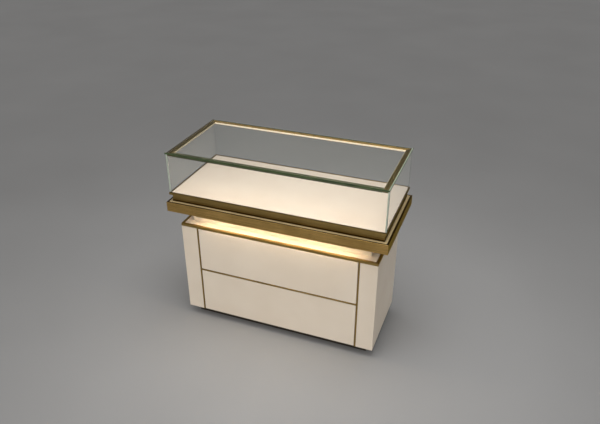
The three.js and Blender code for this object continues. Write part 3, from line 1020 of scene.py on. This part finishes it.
@dataclass
class LightBar(SubAssembly):
    """Extruded channel with a domed opal cover over its lamps."""

    name: str = "neck_light"
    glow: Finish = NECK_GLOW
    metal: Finish = CHAMPAGNE
    dome: float = 0.4  # of the cover's thickness
    dome_points: int = 9

    def build(self) -> None:
        """Dresses the channel and builds the cover, half an ellipse carried along x."""
        self.dress_node(f"{self.name}_channel", self.metal, SHEET_EDGE)
        low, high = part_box(f"{self.name}_diffuser")
        turn = np.linspace(0, np.pi, self.dome_points)
        half, middle = (high[1] - low[1]) / 2, (high[1] + low[1]) / 2
        sag = self.dome * (high[2] - low[2])
        level = low[2] + sag * (1 - np.sin(turn))
        under = np.stack([middle + half * np.cos(turn), level], axis=-1)
        outline = np.concatenate([under, [[low[1], high[2]], [high[1], high[2]]]])
        cover = straight(outline, Axis.X, low[0], high[0])
        node = f"{self.name}_diffuser"
        put(f"{self.name}_cover", [cover], [self.glow], self.body, [node])


@dataclass
class Neck(SubAssembly):
    """Cream box between cabinet and deck, with the inlet and the driver of its lamps."""

    wall_edge: float = 1.0 * MM
    inlet_edge: float = 0.5 * MM
    driver_edge: float = 3.0 * MM
    pin_radius: float = 1.2 * MM
    pin_spread: float = 5 * MM
    pin_depths: tuple[float, float] = (15 * MM, 4 * MM)  # of root and tip, behind the inlet's face
    pin_points: int = 16

    def build(self) -> None:
        """Dresses the walls and builds the light, the inlet's pins and the driver."""
        self.dress_node("neck_riser", SHADED_LACQUER, self.wall_edge)
        self.dress_node("power_inlet", BLACK_PLASTIC, self.inlet_edge)
        self.board("led_driver", WHITE_PLASTIC, self.driver_edge, "driver_case")
        LightBar(self.nodes, self.body, "neck_light", NECK_GLOW).build()
        low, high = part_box("power_inlet")
        middle = (np.asarray(low) + np.asarray(high)) / 2
        turn = np.linspace(0, 2 * np.pi, self.pin_points, endpoint=False)
        disc = self.pin_radius * np.stack([np.cos(turn), np.sin(turn)], axis=-1) + middle[[0, 2]]
        root, tip = (high[1] - depth for depth in self.pin_depths)
        pins = [
            straight(disc + [shift, 0], Axis.Y, root, tip)
            for shift in (-self.pin_spread, self.pin_spread)
        ]
        put("power_inlet_pins", pins, [STEEL], self.body)


@dataclass
class Deck(SubAssembly):
    """Thick board over the neck with a mitred brass band round it."""

    band: float = 10 * MM
    edge: float = 1.0 * MM
    upward: float = 0.8  # a face whose normal rises more than this counts as the band's top

    def build(self) -> None:
        """Builds the board and its band, whose top faces are dark with painted shade."""
        # The deck board's cream carries painted shade and a painted glow from the brass.
        self.board("deck_board", DECK_LACQUER_PAINTED_SHADE, self.edge, "cream_lacquer")
        bars = mitred_bars(*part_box("deck_trim"), self.band, self.edge)
        # The side bars take the darker brass: painted shade along the band's sides.
        finishes = [BRASS, AGED_AND_SHADED_BRASS[Axis.Y], BRASS_PAINTED_SHADE_LINE]
        dark = finishes.index(BRASS_PAINTED_SHADE_LINE)
        band = put("deck_band", bars, finishes, self.body, ["deck_trim"])
        tints = np.empty(len(band.data.polygons), dtype=np.int32)
        band.data.polygons.foreach_get("material_index", tints)
        # Faces that look up take the umber brass: painted shade along the band's top.
        tints[face_ways(band)[:, 2] > self.upward] = dark
        band.data.polygons.foreach_set("material_index", tints)


@dataclass
class GlassCase(SubAssembly):
    """Glazed case: brass riser and sill, panes with polished rims, top frame and light."""

    riser_wall: float = 18 * MM
    foot_proud: float = 2 * MM
    foot_height: float = 7 * MM
    sill_bar: float = 9 * MM
    flange_height: float = 3.7 * MM
    flange_wall: tuple[float, float] = (24 * MM, 18 * MM)
    flange_edge: float = 0.4 * MM
    frame_wall: float = 22 * MM
    strip: float = 1.2 * MM
    bond: float = 0.2 * MM
    light_flange: tuple[float, float] = (9 * MM, 1 * MM)  # width and thickness
    light_flange_edge: float = 0.2 * MM
    edge: float = 0.8 * MM
    strip_edge: float = 0.3 * MM
    foot_groove: float = 0.1 * MM
    pane_edge: float = 0.6 * MM
    flat: float = 0.95  # a normal this close to a pane's own belongs to its sheet
    facing: float = 0.5  # a rim's normal this far along a direction faces that way

    def build(self) -> None:
        """Builds the brass base, the panes, the frame and the light."""
        # Riser and sill take the darker brass; on the riser, recessed under the sill, it is painted
        # shade.
        aged = [AGED_AND_SHADED_BRASS[Axis.X], AGED_AND_SHADED_BRASS[Axis.Y]]
        riser = mitred_bars(*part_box("case_riser"), self.riser_wall, self.edge, Sides.OPEN_REAR)
        put("case_riser_bars", riser, aged, self.body, ["case_riser"])
        self.riser_foot()
        low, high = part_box("glass_sill")
        thin = (high[0], high[1], low[2] + self.flange_height)
        sill = mitred_bars(low, high, self.sill_bar, self.edge, Sides.OPEN_REAR)
        sill += mitred_bars(
            low, thin, self.flange_wall, self.flange_edge, Sides.OPEN_REAR, self.sill_bar
        )
        put("glass_sill_bars", sill, aged, self.body, ["glass_sill"])
        frame = mitred_bars(*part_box("top_frame"), self.frame_wall, self.edge, Sides.OPEN_FRONT)
        # The frame's side bars take a darker copy of its brass: painted shade.
        finishes = [BRASS, FRAME_BRASS_PAINTED_SHADE]
        put("top_frame_bars", frame, finishes, self.body, ["top_frame"])
        self.frame_strips()
        for node in ("glass_front", "glass_left", "glass_right", "glass_top"):
            self.pane(node)
        LightBar(self.nodes, self.body, "case_light", CASE_GLOW, BRONZE).build()
        self.bonding_flange()

    def bonding_flange(self) -> None:
        """Thin flange by which the light bar is bonded to the top pane."""
        low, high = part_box("case_light_channel")
        frame_low, frame_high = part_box("top_frame")
        width, thickness = self.light_flange
        inset = self.frame_wall + self.strip + self.bond
        start, top = high[1] + self.bond, high[2] - self.bond
        flange_low = (max(low[0], frame_low[0] + inset), start, top - thickness)
        flange_high = (min(high[0], frame_high[0] - inset), start + width, top)
        shell = rounded_box(flange_low, flange_high, self.light_flange_edge)
        put("case_light_flange", [shell], [BRONZE], self.body)

    def riser_foot(self) -> None:
        """Dark strip where the riser stands on the deck: a painted shadow line at the riser's foot.
        """
        low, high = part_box("case_riser")
        out = self.foot_proud
        foot_low = (low[0] - out, low[1] - out, low[2])
        foot_high = (high[0] + out, high[1], low[2] + self.foot_height)
        foot = mitred_bars(
            foot_low, foot_high, out, self.strip_edge, Sides.OPEN_REAR, groove=self.foot_groove
        )
        finishes = [BRASS_PAINTED_SHADE_LINE, BRASS_PAINTED_SHADE_LINE]
        put("case_riser_painted_shadow_line", foot, finishes, self.body)

    def frame_strips(self) -> None:
        """Faint glowing strips inside the top frame: painted reflection of the lit display floor.
        """
        low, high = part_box("top_frame")
        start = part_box("case_light_channel")[1][1] + self.strip
        inner_low = (low[0] + self.frame_wall, start, low[2] + self.strip)
        inner_high = (high[0] - self.frame_wall, high[1] - self.frame_wall, high[2] - self.strip)
        strips = mitred_bars(inner_low, inner_high, self.strip, self.strip_edge, Sides.OPEN_FRONT)
        # The rear strip glows more, the side strips less and darker: painted reflection and painted
        # shade.
        finishes = [REAR_GLOW_PAINTED_REFLECTION, SIDE_GLOW_PAINTED_REFLECTION]
        put("top_frame_painted_reflection_strips", strips, finishes, self.body)

    def pane(self, node: str) -> None:
        """Puts a pane with polished rims in a node's place.

        Args:
            node: the node's name.
        """
        low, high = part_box(node)
        shell = rounded_box(low, high, self.pane_edge)
        sheet = DUSTY_PANES.get(node, GLASS)
        finishes = [sheet, GLASS_EDGE, RIM_PAINTED_HIGHLIGHT, TOP_EDGES.get(node, GLASS_EDGE)]
        piece = put(f"{node}_pane", [shell], finishes, self.body, [node])
        thin = int(np.argmin(np.asarray(high) - np.asarray(low)))
        ways = face_ways(piece)
        tints = np.ones(len(ways), dtype=np.int32)
        if thin == Axis.X.value:
            # Rims that face the front get the pale rim: a painted highlight.
            tints[ways[:, 1] < -self.facing] = finishes.index(RIM_PAINTED_HIGHLIGHT)
            # Upper rims: a painted brass reflection on the left pane, a painted highlight on the
            # right.
            tints[ways[:, 2] > self.facing] = len(finishes) - 1
        tints[abs(ways[:, thin]) > self.flat] = 0
        piece.data.polygons.foreach_set("material_index", tints)


@dataclass
class DisplayTray(GlassCase):
    """Display floor that slides out at the back with the rear pane and its brass fascia."""

    body: str = "display_tray"
    floor_edge: float = 1.0 * MM
    fascia_edge: float = 0.6 * MM

    def build(self) -> None:
        """Builds the floor and the rear pane, and dresses the fascia and the runners."""
        self.dress_node("display_board", FLOOR_LACQUER, self.floor_edge)
        self.dress_node("tray_fascia", BRASS, self.fascia_edge)
        self.pane("glass_rear")
        for side in ("left", "right"):
            for member in ("fixed", "sliding"):
                self.dress_node(f"tray_runner_{side}_{member}", ZINC, SHEET_EDGE)


@dataclass
class Lamp:
    """A soft rectangular studio lamp, with its sizes in metres and its spread in degrees."""

    name: str
    place: tuple[float, float, float]
    target: tuple[float, float, float]
    size: tuple[float, float]
    power: float
    spread: float = 180.0
    through_glass: bool = True

    def build(self) -> None:
        """Hangs the lamp and turns it to its target."""
        light = bpy.data.lights.new(self.name, "AREA")
        light.shape = "RECTANGLE"
        light.size, light.size_y = self.size
        light.energy = self.power
        light.spread = math.radians(self.spread)
        lamp = bpy.data.objects.new(self.name, light)
        lamp.visible_transmission = self.through_glass
        bpy.context.scene.collection.objects.link(lamp)
        way = np.asarray(self.target) - np.asarray(self.place)
        lamp.location = self.place
        tilt = math.acos(-way[2] / np.linalg.norm(way))
        lamp.rotation_euler = (tilt, 0.0, math.atan2(-way[0], way[1]))


@dataclass
class Studio:
    """Grey floor, soft lamps and the camera at the photograph's angle."""

    floor_reach: float = 30.0
    sky_way: tuple[float, float, float] = (0.0, -0.6, 0.8)
    sky_reach: tuple[float, float] = (-0.6, 0.8)  # how far along sky_way it starts and ends
    sky_curve: float = 2.0
    sky_bright: float = 0.94
    sky_dark: float = 0.18
    wall: str = "#7E7D7D"  # what the eye, metal and glass see around the object
    camera_place: tuple[float, float, float] = (0.9780, -2.4238, 2.0988)
    camera_turn: float = 0.36601
    camera_pitch: float = 0.51646
    lens: float = 36.353
    sensor: float = 36.0
    lamps: list[Lamp] = field(
        default_factory=lambda: [
            Lamp(
                "front_softbox",
                place=(-0.4, -3.0, 2.8),
                target=(0.0, 0.0, 0.4),
                size=(4.0, 3.0),
                power=18.0,
                through_glass=False,  # from behind, the panes show the plain room
            ),
            Lamp(
                "overhead_softbox",
                place=(0.2, -0.25, 2.5),
                target=(0.2, -0.25, 0.0),
                size=(1.4, 1.9),
                power=15.8,
                spread=100.0,
            ),
        ]
    )

    def build(self) -> None:
        """Builds the floor, the light and the camera."""
        self.floor()
        for lamp in self.lamps:
            lamp.build()
        self.surroundings()
        self.camera()

    def floor(self) -> None:
        """Lays the floor as a single square."""
        reach = self.floor_reach
        corners = np.array([[-1, -1, 0], [1, -1, 0], [1, 1, 0], [-1, 1, 0]]) * reach
        mesh = bpy.data.meshes.new("studio_floor")
        mesh.from_pydata(corners.tolist(), [], [[0, 1, 2, 3]])
        mesh.materials.append(PAPER.material())
        floor = bpy.data.objects.new("studio_floor", mesh)
        bpy.context.scene.collection.objects.link(floor)

    def surroundings(self) -> None:
        """Sets a sky that is brighter above and in front, a grey wall, and plain colours."""
        world = bpy.data.worlds.new("studio_world")
        world.use_nodes = True
        world.node_tree.nodes.clear()
        graph = ShaderGraph(world.node_tree)
        way = graph.add("TexCoord").outputs["Generated"]
        toward = graph.add("VectorMath", {0: way, 1: self.sky_way}, operation="DOT_PRODUCT")
        share = graph.spread(toward.outputs["Value"], ends=self.sky_reach)
        curve = graph.maths("POWER", share, self.sky_curve)
        level = graph.spread(curve, self.sky_dark, self.sky_bright, ends=(0.0, 1.0))
        sky = graph.add("Background", {"Color": linear("#FFFFFF"), "Strength": level})
        wall = graph.add("Background", {"Color": linear(self.wall)})
        path = graph.add("LightPath").outputs
        mirrored = graph.maths("MAXIMUM", path["Is Glossy Ray"], path["Is Transmission Ray"])
        seen = graph.maths("MAXIMUM", path["Is Camera Ray"], mirrored)
        # A ray that has left a matt surface carries light, so it meets the sky again.
        unscattered = graph.maths("LESS_THAN", path["Diffuse Depth"], 0.5)
        shown = graph.maths("MULTIPLY", seen, unscattered)
        shade = graph.mixed(shown, sky.outputs[0], wall.outputs[0])
        graph.add("OutputWorld", {"Surface": shade})
        bpy.context.scene.world = world
        bpy.context.scene.view_settings.view_transform = "Standard"

    def camera(self) -> None:
        """Places the camera."""
        lens = bpy.data.cameras.new("camera")
        lens.sensor_width = self.sensor
        lens.lens = self.lens
        eye = bpy.data.objects.new("camera", lens)
        eye.location = self.camera_place
        eye.rotation_euler = (math.pi / 2 - self.camera_pitch, 0.0, self.camera_turn)
        bpy.context.scene.collection.objects.link(eye)
        bpy.context.scene.camera = eye


def main() -> None:
    """Loads the frame and builds every sub-assembly in order."""
    logging.basicConfig(level=logging.INFO, format="%(message)s")
    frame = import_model()
    nodes = frame["nodes"]
    Studio().build()
    Plinth(nodes).build()
    Carcass(nodes).build()
    CabinetTrim(nodes).build()
    for name in ("upper_drawer", "lower_drawer"):
        Drawer(nodes, name, name).build()
    Neck(nodes).build()
    Deck(nodes).build()
    GlassCase(nodes).build()
    DisplayTray(nodes).build()


if __name__ == "__main__":
    main()
